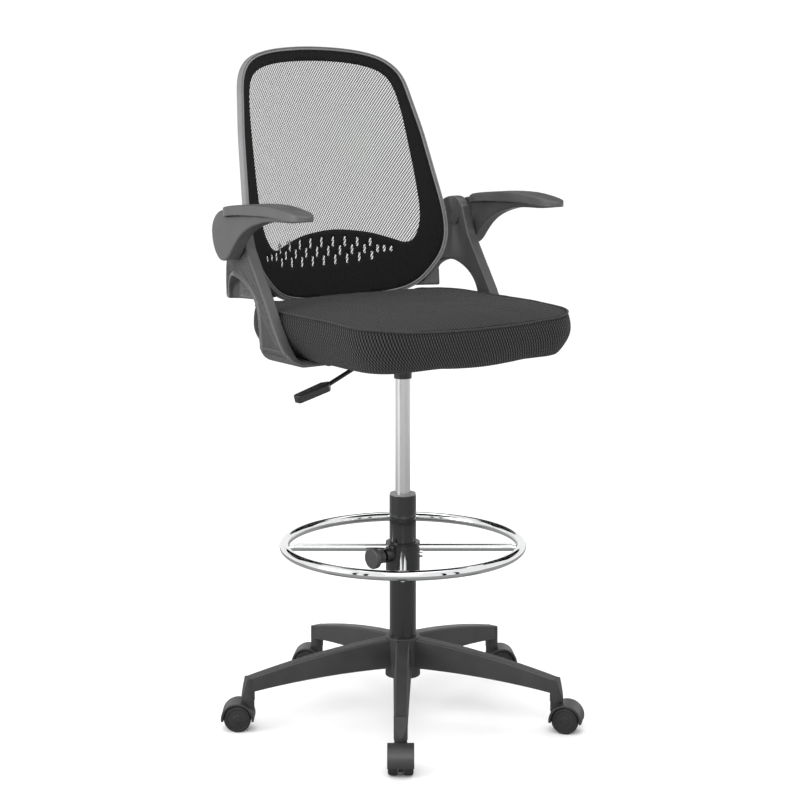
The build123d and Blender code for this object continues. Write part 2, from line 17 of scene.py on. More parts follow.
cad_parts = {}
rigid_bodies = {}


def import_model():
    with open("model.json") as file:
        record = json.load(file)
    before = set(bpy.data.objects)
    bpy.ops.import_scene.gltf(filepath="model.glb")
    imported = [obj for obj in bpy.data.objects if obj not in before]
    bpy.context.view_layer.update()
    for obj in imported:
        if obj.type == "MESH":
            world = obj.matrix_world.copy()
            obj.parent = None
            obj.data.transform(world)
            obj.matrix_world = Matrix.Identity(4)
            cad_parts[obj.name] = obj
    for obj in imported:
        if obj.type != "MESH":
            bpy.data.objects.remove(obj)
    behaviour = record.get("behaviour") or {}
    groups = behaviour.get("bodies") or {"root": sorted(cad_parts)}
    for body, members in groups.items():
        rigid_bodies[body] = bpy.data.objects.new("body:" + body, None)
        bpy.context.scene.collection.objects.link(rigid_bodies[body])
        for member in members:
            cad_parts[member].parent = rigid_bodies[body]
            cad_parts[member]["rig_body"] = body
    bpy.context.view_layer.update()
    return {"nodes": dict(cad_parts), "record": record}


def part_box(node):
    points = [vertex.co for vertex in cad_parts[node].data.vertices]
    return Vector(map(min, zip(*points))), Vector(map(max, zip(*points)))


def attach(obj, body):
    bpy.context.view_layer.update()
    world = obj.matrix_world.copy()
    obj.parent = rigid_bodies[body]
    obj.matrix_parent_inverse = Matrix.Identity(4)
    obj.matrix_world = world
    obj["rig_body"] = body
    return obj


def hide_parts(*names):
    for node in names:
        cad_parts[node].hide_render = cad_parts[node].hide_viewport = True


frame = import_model()
nodes = frame["nodes"]
slot_of = {part["node"]: part["material_slot"] for part in frame["record"]["subparts"]}
MM = 0.001

# %% [markdown]
# ## Camera
# The chair is seen from its right front, a little above the seat. A long lens far away keeps the
# verticals nearly parallel, as in a catalogue picture.

# %% Camera
VIEW_AZIMUTH = math.radians(36)
VIEW_PITCH = 0.1785
VIEW_DISTANCE = 3.5
camera = bpy.data.objects.new("camera", bpy.data.cameras.new("camera"))
camera.data.lens = 86.58
camera.data.sensor_width = 36
camera.data.shift_x = -0.0035
camera.location = (-VIEW_DISTANCE * math.sin(VIEW_AZIMUTH), -VIEW_DISTANCE * math.cos(VIEW_AZIMUTH), 1.236)
camera.rotation_euler = (math.pi / 2 - VIEW_PITCH, 0, -VIEW_AZIMUTH)
bpy.context.scene.collection.objects.link(camera)
bpy.context.scene.camera = camera
bpy.context.scene.view_settings.view_transform = "Standard"
print("camera at", [round(value, 3) for value in camera.location])

# %% [markdown]
# ## Two small helpers for materials
# Colours are written as the hex values that a screen shows, and Blender works in linear light, so one
# function turns them. Another adds a shader node, sets its options and fills or links its inputs in one
# call.

# %% Material helpers
def linear(code):
    """An sRGB hex colour as linear red, green, blue and alpha."""
    values = [int(code[i:i + 2], 16) / 255 for i in (1, 3, 5)]
    return [v / 12.92 if v <= 0.04045 else ((v + 0.055) / 1.055) ** 2.4 for v in values] + [1.0]


def add(tree, kind, inputs=None, **settings):
    """Add a node: settings are its options, inputs are values or the sockets to link from."""
    node = tree.nodes.new(kind)
    for option, value in settings.items():
        setattr(node, option, value)
    for socket, value in (inputs or {}).items():
        if isinstance(value, bpy.types.NodeSocket):
            tree.links.new(value, node.inputs[socket])
        else:
            node.inputs[socket].default_value = value
    return node


def shader_of(name, colour, roughness, **sockets):
    """A new material with its shader's constant values set, and what a pattern is built on."""
    material = bpy.data.materials.new(name)
    material.use_nodes = True
    tree = material.node_tree
    shader = tree.nodes["Principled BSDF"]
    shader.inputs["Base Color"].default_value = linear(colour)
    shader.inputs["Roughness"].default_value = roughness
    for socket, value in sockets.items():
        shader.inputs[socket.replace("_", " ")].default_value = value
    coordinates = add(tree, "ShaderNodeTexCoord")
    return material, tree, shader, coordinates


def vary(tree, shader, factor, dark, light, rough_low, rough_high):
    """Let one pattern move the colour between two tones and the roughness between two values."""
    tone = add(tree, "ShaderNodeMix", {0: factor}, data_type="RGBA")
    tone.inputs[6].default_value = linear(dark)
    tone.inputs[7].default_value = linear(light)
    tree.links.new(tone.outputs[2], shader.inputs["Base Color"])
    rough = add(tree, "ShaderNodeMapRange", {"Value": factor, "To Min": rough_low, "To Max": rough_high})
    tree.links.new(rough.outputs["Result"], shader.inputs["Roughness"])


def raise_surface(tree, shader, height, depth_mm, strength=1.0):
    """Bump the surface by a 0 to 1 height pattern that is depth_mm deep."""
    bump = add(tree, "ShaderNodeBump", {"Height": height, "Strength": strength, "Distance": depth_mm * MM})
    tree.links.new(bump.outputs["Normal"], shader.inputs["Normal"])


# %% [markdown]
# ## Floor, backdrop and light
# White seamless paper lies under the chair, a white world surrounds it, and three large soft lights
# look at it. Polished metal only looks like metal when it has something darker to mirror, so black
# cards stand round the set and a grey one lies on the floor. Only mirrors see them.

# %% Studio
def studio_paper():
    """Matt white paper, with a faint fibre in it."""
    material, tree, shader, coordinates = shader_of("white seamless paper", "#ffffff", 0.9,
                                                    Specular_IOR_Level=0.0)
    fibre = add(tree, "ShaderNodeTexNoise",
                {"Vector": coordinates.outputs["Object"], "Scale": 700.0, "Detail": 3.0})
    vary(tree, shader, fibre.outputs["Fac"], "#fdfdfd", "#ffffff", 0.85, 0.95)
    return material


def studio_sheet(name, centre, half_width, half_height, facing, material):
    """A flat rectangle whose front looks along facing."""
    mesh = bpy.data.meshes.new(name)
    turn = Vector(facing).to_track_quat("Z", "Y")
    signs = [(-1, -1), (1, -1), (1, 1), (-1, 1)]
    corners = [turn @ Vector((x * half_width, y * half_height, 0)) + Vector(centre) for x, y in signs]
    mesh.from_pydata(corners, [], [(0, 1, 2, 3)])
    mesh.materials.append(material)
    sheet = bpy.data.objects.new(name, mesh)
    bpy.context.scene.collection.objects.link(sheet)
    return sheet


def only_mirrored(card):
    """Let nothing but mirrors see a card."""
    card.visible_camera = False
    card.visible_diffuse = False
    card.visible_shadow = False


def black_card(name, azimuth, distance, low, high, half_width):
    """An upright black card that only mirrors see."""
    angle = math.radians(azimuth)
    centre = (distance * math.cos(angle), distance * math.sin(angle), (low + high) / 2)
    inwards = (-math.cos(angle), -math.sin(angle), 0)
    only_mirrored(studio_sheet(name, centre, half_width, (high - low) / 2, inwards, card_black))


def soft_light(name, place, aim, size, watts):
    """A square softbox that looks at a point."""
    light = bpy.data.objects.new(name, bpy.data.lights.new(name, "AREA"))
    light.data.shape = "SQUARE"
    light.data.size = size
    light.data.energy = watts
    light.location = place
    light.rotation_euler = (Vector(aim) - Vector(place)).to_track_quat("-Z", "Y").to_euler()
    bpy.context.scene.collection.objects.link(light)


world = bpy.data.worlds.new("white studio")
bpy.context.scene.world = world
world.use_nodes = True
world.node_tree.nodes["Background"].inputs["Color"].default_value = (1, 1, 1, 1)
world.node_tree.nodes["Background"].inputs["Strength"].default_value = 1.05
studio_sheet("floor", (0, 0, -0.0005), 300, 300, (0, 0, 1), studio_paper())
card_black = shader_of("matt black card", "#050505", 1.0, Specular_IOR_Level=0.0)[0]
for number, azimuth in enumerate((0, 27, 54, 81, 108)):
    black_card(f"rear_card_{number}", azimuth, 2.6, 1.3, 3.4, 0.60)
for number, azimuth in enumerate((-168, -158, -90, -78)):
    black_card(f"side_card_{number}", azimuth, 2.4, 0.0, 1.5, 0.08)
card_grey = shader_of("matt grey card", "#8a8a8a", 1.0, Specular_IOR_Level=0.0)[0]
only_mirrored(studio_sheet("floor_card", (0, 0, 0.0002), 2.2, 2.2, (0, 0, 1), card_grey))
soft_light("key", (-1.6, -2.2, 2.9), (0, 0, 0.7), 1.8, 38)
soft_light("top", (0.3, 0.2, 3.4), (0, 0, 0.6), 2.4, 26)
soft_light("side_left", (-3.0, 0.6, 1.4), (0, 0, 0.8), 1.6, 44)
print("studio ready")

# %% [markdown]
# ## Moulded plastics
# The base, brackets, arms and caster parts are glass-filled nylon from spark-eroded moulds. That leaves
# a fine pebble on the skin, which scatters a highlight into a soft grey sheen. The real pebble is about
# 0.3 mm wide, too fine to show here, so it is drawn at about 1 mm.

# %% Plastics
def moulded_plastic(name, dark, light, rough_low, rough_high, pebble_mm=1.0, depth_mm=0.06):
    """Satin moulded plastic with a pebbled skin and faint flow marks."""
    material, tree, shader, coordinates = shader_of(name, light, rough_high, IOR=1.53)
    place = coordinates.outputs["Object"]
    flow = add(tree, "ShaderNodeTexNoise", {"Vector": place, "Scale": 22.0, "Detail": 5.0, "Roughness": 0.6})
    pebble = add(tree, "ShaderNodeTexVoronoi", {"Vector": place, "Scale": 1 / (pebble_mm * MM)},
                 feature="SMOOTH_F1")
    spread = add(tree, "ShaderNodeMapRange",
                 {"Value": flow.outputs["Fac"], "From Min": 0.3, "From Max": 0.7})
    vary(tree, shader, spread.outputs["Result"], dark, light, rough_low, rough_high)
    raise_surface(tree, shader, pebble.outputs["Distance"], depth_mm)
    return material


finishes = {
    "base_nylon": moulded_plastic("satin glass-filled nylon, base", "#2b2b2c", "#323233", 0.38, 0.48),
    "bracket_nylon": moulded_plastic("satin glass-filled nylon, brackets", "#3c3c3d", "#464647", 0.38, 0.48),
    "arm_nylon": moulded_plastic("satin glass-filled nylon, arms", "#3c3c3d", "#464647", 0.38, 0.48),
    "frame_nylon": moulded_plastic("satin nylon, back frame", "#68686a", "#747476", 0.32, 0.42),
    "caster_nylon": moulded_plastic("moulded nylon, caster hoods", "#262627", "#2e2e2f", 0.36, 0.46),
    "wheel_nylon": moulded_plastic("moulded nylon, caster wheels", "#1c1c1d", "#242425", 0.42, 0.55, 1.6),
    "knob_plastic": moulded_plastic("moulded plastic, clamp knob", "#303031", "#3a3a3b", 0.36, 0.48),
    "paddle_plastic": moulded_plastic("moulded plastic, lever paddle", "#161617", "#202021", 0.28, 0.42),
    "guide_plastic": moulded_plastic("smooth acetal, column guide", "#6b6b6c", "#7c7c7d", 0.25, 0.35, 2.0,
                                     0.02),
    "bush_plastic": moulded_plastic("smooth acetal, ring bush", "#101011", "#181819", 0.25, 0.38, 2.0, 0.02),
    "piston_plastic": moulded_plastic("glass-filled piston", "#2a2a2a", "#333333", 0.4, 0.5),
    "arm_pad_soft": moulded_plastic("soft polyurethane skin, arm pads", "#3e3e3f", "#4a4a4b", 0.42, 0.54,
                                    1.4, 0.12),
    "clamp_rubber": moulded_plastic("moulded rubber, clamp pad", "#121212", "#191919", 0.6, 0.75),
}
print("plastics:", len(finishes))

# %% [markdown]
# ## Metals and paint
# The foot ring is a polished chrome tube, which mirrors the studio almost perfectly. The gas lift's rod
# is hard chrome ground to size, so fine marks along it blur what it mirrors. The outer tube is sprayed
# with gloss black enamel, which dries with a slight orange peel.

# %% Metals
def polished_chrome(name, colour="#e4e5e6"):
    """Bright plated chrome with faint wiping marks."""
    material, tree, shader, coordinates = shader_of(name, colour, 0.06, Metallic=1.0)
    wipe = add(tree, "ShaderNodeTexNoise",
               {"Vector": coordinates.outputs["Object"], "Scale": 9.0, "Detail": 6.0})
    vary(tree, shader, wipe.outputs["Fac"], "#dcddde", "#ecedee", 0.03, 0.10)
    return material


def ground_metal(name, dark, light, rough_low, rough_high, line_mm, along):
    """Metal with fine machining lines along one direction."""
    material, tree, shader, coordinates = shader_of(name, light, rough_high, Metallic=1.0)
    stretch = [1 / (line_mm * MM)] * 3
    stretch["XYZ".index(along)] = 12.0
    lines = add(tree, "ShaderNodeMapping", {"Vector": coordinates.outputs["Object"], "Scale": stretch})
    grind = add(tree, "ShaderNodeTexNoise", {"Vector": lines.outputs["Vector"], "Scale": 1.0, "Detail": 4.0})
    vary(tree, shader, grind.outputs["Fac"], dark, light, rough_low, rough_high)
    raise_surface(tree, shader, grind.outputs["Fac"], 0.02, 0.4)
    return material


def sprayed_enamel(name, dark, light, rough_low, rough_high, peel_mm, coat):
    """Black paint with orange peel under a clear, glossy top."""
    material, tree, shader, coordinates = shader_of(name, light, rough_high, Coat_Weight=coat,
                                                    Coat_Roughness=0.06)
    place = coordinates.outputs["Object"]
    peel = add(tree, "ShaderNodeTexNoise", {"Vector": place, "Scale": 1 / (peel_mm * MM), "Detail": 2.0})
    haze = add(tree, "ShaderNodeTexNoise", {"Vector": place, "Scale": 15.0, "Detail": 4.0})
    vary(tree, shader, haze.outputs["Fac"], dark, light, rough_low, rough_high)
    raise_surface(tree, shader, peel.outputs["Fac"], 0.05, 0.5)
    return material


finishes.update({
    "ring_chrome": polished_chrome("polished chrome plate, foot ring"),
    "screw_chrome": polished_chrome("polished chrome plate, screws"),
    "rod_chrome": ground_metal("ground hard chrome, gas lift rod", "#c2c2c3", "#d6d6d7", 0.28, 0.38, 1.5,
                               "Z"),
    "bearing_steel": ground_metal("ground bearing steel", "#9a9a9b", "#b4b4b5", 0.25, 0.4, 0.6, "Z"),
    "spring_steel": ground_metal("blued spring steel", "#5c5c60", "#707076", 0.3, 0.45, 0.6, "Y"),
    "release_steel": ground_metal("ground steel, release pin", "#a0a0a1", "#b8b8b9", 0.25, 0.4, 0.5, "Z"),
    "screw_steel": ground_metal("zinc-plated steel, clamp screw", "#a8aaa8", "#bcbebc", 0.3, 0.45, 0.8, "X"),
    "pivot_steel": sprayed_enamel("black zinc, arm pivots", "#3a3a3b", "#464647", 0.4, 0.5, 1.0, 0.0),
    "stem_steel": ground_metal("bright steel, caster stems", "#a4a4a5", "#babbbb", 0.25, 0.4, 0.6, "Z"),
    "column_black": sprayed_enamel("gloss black enamel, column", "#121213", "#19191a", 0.13, 0.2, 3.0, 0.8),
    "collar_black": sprayed_enamel("gloss black enamel, ring collar", "#101011", "#171718", 0.2, 0.3, 2.5,
                                   0.5),
    "plate_painted": sprayed_enamel("satin black powder coat, seat plate", "#131314", "#1b1b1c", 0.4, 0.5,
                                    1.5, 0.1),
    "lever_painted": sprayed_enamel("satin black enamel, height lever", "#0f0f10", "#171718", 0.3, 0.4, 2.0,
                                    0.2),
    "bolt_black": sprayed_enamel("black oxide, bolts", "#141415", "#1d1d1e", 0.35, 0.5, 1.0, 0.0),
})
print("finishes so far:", len(finishes))

# %% [markdown]
# ## Plywood
# The seat board is rotary-cut beech plywood, stained dark so that it does not show from below. Its face
# grain runs from front to back in long, uneven streaks.

# %% Plywood
def plywood(name):
    """Dark-stained beech veneer with long grain along Y."""
    material, tree, shader, coordinates = shader_of(name, "#3a332b", 0.6)
    grain_space = add(tree, "ShaderNodeMapping",
                      {"Vector": coordinates.outputs["Object"], "Scale": (160, 9, 160)})
    grain = add(tree, "ShaderNodeTexNoise", {"Vector": grain_space.outputs["Vector"], "Scale": 1.0,
                                             "Detail": 6.0, "Distortion": 0.6})
    vary(tree, shader, grain.outputs["Fac"], "#2b2620", "#453c32", 0.55, 0.7)
    raise_surface(tree, shader, grain.outputs["Fac"], 0.1, 0.5)
    return material


finishes["board_plywood"] = plywood("dark-stained rotary-cut beech plywood")

# %% [markdown]
# ## Fabrics
# The seat is covered in air mesh: two knitted faces held apart by standing fibres, with small eyelets where
# the knit opens. The back is a plainer warp knit. In both, the eyelets lie on two sets of slanted lines. The
# colour runs from a near-black in each eyelet to the yarn's own tone on the yarn, and the dark in the
# eyelets is painted shade. The pattern is drawn from each piece's own flat cloth coordinates, in metres, so
# that it follows the cloth. True eyelets are too fine to show here, so they are drawn coarser.

# %% Fabrics
def slanted_knit(tree, cloth, pitch_mm, slope):
    """Eyelets on two crossing sets of lines, as a height from 0 in an eyelet to 1 on a yarn."""
    split = add(tree, "ShaderNodeSeparateXYZ", {0: cloth})
    turns = 2 * math.pi / (pitch_mm * MM)
    waves = []
    for side in (1, -1):
        lean = add(tree, "ShaderNodeMath", {0: split.outputs["Y"], 1: side * slope}, operation="MULTIPLY")
        line = add(tree, "ShaderNodeMath", {0: split.outputs["X"], 1: lean.outputs[0]}, operation="ADD")
        phase = add(tree, "ShaderNodeMath", {0: line.outputs[0], 1: turns}, operation="MULTIPLY")
        waves.append(add(tree, "ShaderNodeMath", {0: phase.outputs[0]}, operation="SINE").outputs[0])
    crossed = add(tree, "ShaderNodeMath", {0: waves[1], 1: 0.6, 2: waves[0]}, operation="MULTIPLY_ADD")
    return add(tree, "ShaderNodeMapRange",
               {"Value": crossed.outputs[0], "From Min": -0.7, "From Max": 1.3}).outputs[0]


def knit_with_painted_eyelet_shade(name, dark, light, pitch_mm, slope, depth_mm, sheen):
    """Matt polyester knit with eyelets, uneven yarn and a soft sheen; the dark tone is painted shade in the
    eyelets.
    """
    material, tree, shader, coordinates = shader_of(name, light, 0.9, Sheen_Weight=sheen,
                                                    Sheen_Roughness=0.5,
                                                    Specular_IOR_Level=0.25)
    cloth = add(tree, "ShaderNodeAttribute", attribute_name="cloth").outputs["Vector"]
    knit = slanted_knit(tree, cloth, pitch_mm, slope)
    yarn = add(tree, "ShaderNodeTexNoise", {"Vector": cloth, "Scale": 900.0, "Detail": 2.0})
    uneven = add(tree, "ShaderNodeMapRange", {"Value": yarn.outputs["Fac"], "To Min": 0.55, "To Max": 1.25})
    height = add(tree, "ShaderNodeMath", {0: knit, 1: uneven.outputs["Result"]}, operation="MULTIPLY",
                 use_clamp=True)
    # painted shade: the colour goes dark where the knit height falls into an eyelet, and light on the yarn
    vary(tree, shader, height.outputs[0], dark, light, 0.95, 0.8)
    raise_surface(tree, shader, height.outputs[0], depth_mm)
    return material


# In each fabric the first colour is painted shade in the eyelets, and the second is the yarn's own tone.
seat_top_knit = knit_with_painted_eyelet_shade("black air mesh, seat top", "#030303", "#424244", 5.6, 0.45, 1.2, 0.04)
seat_side_knit = knit_with_painted_eyelet_shade("black air mesh, seat boxing", "#010101", "#5a5a5c", 5.8, 1.0, 1.6, 0.04)
seat_welt_knit = knit_with_painted_eyelet_shade("black knitted welt", "#141414", "#464648", 2.0, 1.0, 0.4, 0.1)
back_knit = knit_with_painted_eyelet_shade("dense black warp knit, back", "#000000", "#202021", 4.6, 0.7, 0.6, 0.0)
net_knit = knit_with_painted_eyelet_shade("open black warp knit, back window", "#0c0c0c", "#242425", 1.2, 0.6, 0.2, 0.1)
finishes["seat_fabric"] = seat_top_knit
finishes["back_knit"] = back_knit

for node, slot in slot_of.items():
    nodes[node].data.materials.clear()
    nodes[node].data.materials.append(finishes[slot])
print("every node has one of", len(finishes), "finishes")

# %% [markdown]
# ## Mesh helpers
# A piece is often a row of rings joined by quads, so one function skins rings into a mesh. Another
# makes a closed smooth line through a few points, which is how a designer draws an outline.

# %% Mesh helpers
def new_piece(name, mesh, material, body):
    """Put a finished mesh in the scene, name its finish and let it ride on a body."""
    piece = bpy.data.objects.new(name, mesh)
    bpy.context.scene.collection.objects.link(piece)
    mesh.materials.clear()
    mesh.materials.append(material)
    mesh.shade_smooth()
    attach(piece, body)
    return piece


def skin(name, rings, looped=False):
    """Quads between rings of points. A looped row closes on itself, another one is capped at both ends."""
    count = len(rings[0])
    mesh = bpy.data.meshes.new(name)
    faces = []
    pairs = [(i, i + 1) for i in range(len(rings) - 1)] + ([(len(rings) - 1, 0)] if looped else [])
    for a, b in pairs:
        for k in range(count):
            after = (k + 1) % count
            faces.append((a * count + k, a * count + after, b * count + after, b * count + k))
    if not looped:
        faces.append(tuple(reversed(range(count))))
        faces.append(tuple(range((len(rings) - 1) * count, len(rings) * count)))
    mesh.from_pydata([tuple(point) for ring in rings for point in ring], [], faces)
    outward(mesh)
    return mesh


def outward(mesh):
    """Turn every face of a closed mesh outwards."""
    work = bmesh.new()
    work.from_mesh(mesh)
    bmesh.ops.recalc_face_normals(work, faces=work.faces)
    work.to_mesh(mesh)
    work.free()


def smooth_loop(points, count):
    """Evenly spaced points on a closed smooth curve through the given ones."""
    points = np.array(points, float)
    before, after, second = np.roll(points, 1, 0), np.roll(points, -1, 0), np.roll(points, -2, 0)
    dense = []
    for t in np.linspace(0, 1, 24, endpoint=False):
        bend = 2 * before - 5 * points + 4 * after - second
        twist = 3 * points - before - 3 * after + second
        dense.append(0.5 * (2 * points + (after - before) * t + bend * t ** 2 + twist * t ** 3))
    return even_loop(np.array(dense).transpose(1, 0, 2).reshape(-1, points.shape[1]), count)


def even_loop(points, count):
    """Resample a closed line to evenly spaced points."""
    closed = np.vstack([points, points[:1]])
    steps = np.concatenate([[0], np.cumsum(np.linalg.norm(np.diff(closed, axis=0), axis=1))])
    wanted = np.linspace(0, steps[-1], count, endpoint=False)
    return np.column_stack([np.interp(wanted, steps, closed[:, k]) for k in range(closed.shape[1])])


def hull(points):
    """Convex outline of points in a plane, anticlockwise."""
    points = sorted(set(map(tuple, np.round(points, 6))))
    halves = []
    for row in (points, points[::-1]):
        half = []
        for p in row:
            while len(half) > 1 and ((half[-1][0] - half[-2][0]) * (p[1] - half[-2][1])
                                     - (half[-1][1] - half[-2][1]) * (p[0] - half[-2][0])) <= 0:
                half.pop()
            half.append(p)
        halves.append(half[:-1])
    return np.array(halves[0] + halves[1])


def node_points(node):
    """All corner points of a CAD node."""
    mesh = nodes[node].data
    points = np.empty(len(mesh.vertices) * 3, np.float32)
    mesh.vertices.foreach_get("co", points)
    return points.reshape(-1, 3).astype(float)


def moved_in(loop, distance):
    """A closed plane line moved inwards, square to itself. The line runs anticlockwise."""
    along = np.roll(loop, -1, 0) - np.roll(loop, 1, 0)
    along /= np.linalg.norm(along, axis=1)[:, None]
    return loop + distance * np.column_stack([-along[:, 1], along[:, 0]])


def inside(points, loop):
    """For each point, whether it lies inside a closed plane line."""
    points = np.asarray(points, float)
    x, y = points[:, 0], points[:, 1]
    found = np.zeros(len(points), bool)
    for (ax, ay), (bx, by) in zip(loop, np.roll(loop, -1, 0)):
        crosses = (ay > y) != (by > y)
        with np.errstate(divide="ignore", invalid="ignore"):
            found ^= crosses & (x < (bx - ax) * (y - ay) / (by - ay) + ax)
    return found


def set_cloth(mesh, flat_points):
    """Store each corner's place on the flat cloth, in metres, for the fabric patterns."""
    layer = mesh.attributes.new("cloth", "FLOAT_VECTOR", "POINT")
    values = np.zeros((len(mesh.vertices), 3), np.float32)
    values[:, :2] = flat_points
    layer.data.foreach_set("vector", values.ravel())


def applied(piece):
    """Replace a piece's mesh by what its modifiers make, and drop them."""
    bpy.context.view_layer.update()
    made = bpy.data.meshes.new_from_object(piece.evaluated_get(bpy.context.evaluated_depsgraph_get()))
    made.materials.clear()
    for material in piece.data.materials:
        made.materials.append(material)
    piece.modifiers.clear()
    piece.data = made
    return piece

# %% [markdown]
# ## The back's shape
# The back is one surface, curved round the sitter in plan and leaning back in side view. Its outline
# comes from the CAD nodes, so nothing has to be fitted. A point is given by its X and Z in the front
# view and by how far it lies behind the surface.

# %% Back surface
PLAN_RADIUS = 413 * MM
RECLINE = math.radians(13.4)
BACK_FOOT_Y = 191.5 * MM
BACK_FOOT_Z = 745 * MM
RIM_WIDTH = 12 * MM


def back_point(x, z, behind=0.0):
    """A point of the back: X and Z as seen from the front, and its distance behind the surface."""
    across = np.arcsin(np.clip(x / PLAN_RADIUS, -1, 1))
    depth = BACK_FOOT_Y + math.tan(RECLINE) * (z - BACK_FOOT_Z) - PLAN_RADIUS * (1 - np.cos(across))
    down = -math.sin(RECLINE) * np.ones_like(across)
    normal = np.array([np.sin(across), np.cos(across) * math.cos(RECLINE), down])
    normal /= np.linalg.norm(normal, axis=0)
    return np.array([x, depth, z]) + behind * normal


outer_edge = even_loop(hull(node_points("back_frame")[:, [0, 2]]), 260)
print("back is", (np.ptp(outer_edge, axis=0) / MM).round(), "mm wide and high")

# %% [markdown]
# ## Back frame
# A nylon loop with a broad, rounded outer band, a dark groove and a slim bead that traps the edge of
# the knit. One drawn section is carried round the outline, which keeps the groove an even width all the
# way. The section gives, for each of its points, how far in from the edge it is and how far in front of
# the knit.

# %% Back frame
RIM_SECTION = [(0.7, -8.4), (0.0, -7.4), (0.0, 0.4), (0.4, 1.8), (1.3, 2.4), (2.1, 1.9), (2.5, 0.3),
               (3.3, 0.0), (3.8, 1.3), (4.5, 2.8), (5.5, 3.3), (6.5, 2.9), (7.1, 1.7), (7.3, -0.9),
               (12.0, -1.2), (12.0, -6.6), (10.4, -8.4), (7.0, -9.0), (3.0, -9.0)]
BEAD_INSIDE = 6.6 * MM


def back_rim():
    """The loop of the back frame."""
    section = even_loop(np.array(RIM_SECTION), 44) * MM
    loops = [moved_in(outer_edge, distance) for distance in section[:, 0]]
    rings = []
    for index in range(len(outer_edge)):
        rings.append([back_point(*loops[k][index], behind=-section[k, 1]) for k in range(len(section))])
    mesh = skin("back_rim", rings, looped=True)
    return new_piece("back_rim", mesh, finishes["frame_nylon"], "seat")


def sheet_with_holes(name, edge, holes, spacing):
    """A flat triangle mesh inside an edge and outside every hole, on an even grid of points."""
    loops = [edge] + holes
    points = [tuple(p) for loop in loops for p in loop]
    borders = []
    for loop in loops:
        first = len(borders)
        borders += [(first + k, first + (k + 1) % len(loop)) for k in range(len(loop))]
    low, high = edge.min(0), edge.max(0)
    xs, zs = np.meshgrid(np.arange(low[0], high[0], spacing), np.arange(low[1], high[1], spacing))
    grid = np.column_stack([xs.ravel(), zs.ravel()])
    grid = grid[inside(grid, moved_in(edge, spacing * 0.6))]
    for hole in holes:
        grid = grid[~inside(grid, moved_in(hole, -spacing * 0.5))]
    points += [tuple(p) for p in grid]
    found = delaunay_2d_cdt([Vector(p) for p in points], borders, [], 0, 1e-7)
    places, faces = np.array(found[0]), found[2]
    centres = np.array([places[list(face)].mean(0) for face in faces])
    keep = inside(centres, edge)
    for hole in holes:
        keep &= ~inside(centres, hole)
    mesh = bpy.data.meshes.new(name)
    mesh.from_pydata([(x, 0, z) for x, z in places], [], [face for face, good in zip(faces, keep) if good])
    work = bmesh.new()
    work.from_mesh(mesh)
    bmesh.ops.delete(work, geom=[v for v in work.verts if not v.link_faces], context="VERTS")
    work.to_mesh(mesh)
    work.free()
    return mesh


def onto_back(mesh, behind):
    """Bend a flat X-Z mesh onto the back and remember where each point lay on the flat cloth."""
    flat = np.array([(v.co.x, v.co.z) for v in mesh.vertices])
    placed = back_point(flat[:, 0], flat[:, 1], behind).T
    mesh.vertices.foreach_set("co", placed.astype(np.float32).ravel())
    along = PLAN_RADIUS * np.arcsin(flat[:, 0] / PLAN_RADIUS)
    set_cloth(mesh, np.column_stack([along, flat[:, 1] / math.cos(RECLINE)]))
    mesh.update()


def thick(piece, thickness):
    """Give a single-layer piece a wall."""
    wall = piece.modifiers.new("wall", "SOLIDIFY")
    wall.thickness = thickness
    wall.offset = 0.0
    wall.use_even_offset = False
    return applied(piece)


def back_crossbar():
    """The flat lower bar behind the knit, which the brackets bolt to."""
    edge = moved_in(outer_edge, RIM_WIDTH * 0.6)
    top = 830 * MM
    lower = even_loop(hull(edge[edge[:, 1] < top]), 200)
    mesh = sheet_with_holes("back_crossbar", lower, [], 9 * MM)
    onto_back(mesh, 4.7 * MM)
    bar = new_piece("back_crossbar", mesh, finishes["frame_nylon"], "seat")
    return thick(bar, 6.2 * MM)


rim = back_rim()
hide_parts("back_frame")
crossbar = back_crossbar()
print("rim faces:", len(rim.data.polygons), "crossbar faces:", len(crossbar.data.polygons))

# %% [markdown]
# ## Back knit
# One sheet of warp knit is stretched in the loop. The machine knits it dense round the border and over
# the lower back, and open in the window between, and leaves three staggered rows of open slots in the
# dense part. The dense part is a mesh with real holes. The open part is a real net: a patch of slanted
# cells, each turned into a ring of yarn by a Geometry Nodes tree. The true cells are about 2.5 mm wide
# and are drawn at 3 by 4 mm, so that they show. The lines that lean to the right are spaced wider and
# so are thicker, as in the real knit.

# %% Window and slots
WINDOW_HALF = [(0, 1221), (70, 1218), (120, 1209), (148, 1195), (163, 1172), (172, 1130), (178, 1060),
               (182, 985), (182, 935), (176, 903), (163, 880), (146, 874), (118, 883), (70, 896), (0, 903)]
SLOT_ROW = 27 * MM
SLOT_MIDDLE = (-30 * MM, 861 * MM)
SLOT_REACH = 158 * MM


def window_loop():
    """Edge of the open window, anticlockwise."""
    loop = WINDOW_HALF + [(-x, z) for x, z in reversed(WINDOW_HALF[1:-1])]
    return smooth_loop(np.array(loop[::-1]) * MM, 240)


def slot_loops():
    """The slanted slots: pairs in every second column and singles between them, smaller towards the ends."""
    loops = []
    for column in range(-11, 12):
        x = SLOT_MIDDLE[0] + column * SLOT_ROW / 2
        share = math.sqrt(max(0.0, 1 - ((x - SLOT_MIDDLE[0]) / SLOT_REACH) ** 2))
        height = (7 + 13 * share) * MM
        middle = SLOT_MIDDLE[1] + 3 * MM * share
        rises = (-17 * MM * share, 17 * MM * share) if column % 2 == 0 and share > 0.6 else (0,)
        for rise in rises:
            loops.append(slot_loop(x, middle + rise, height))
    return loops


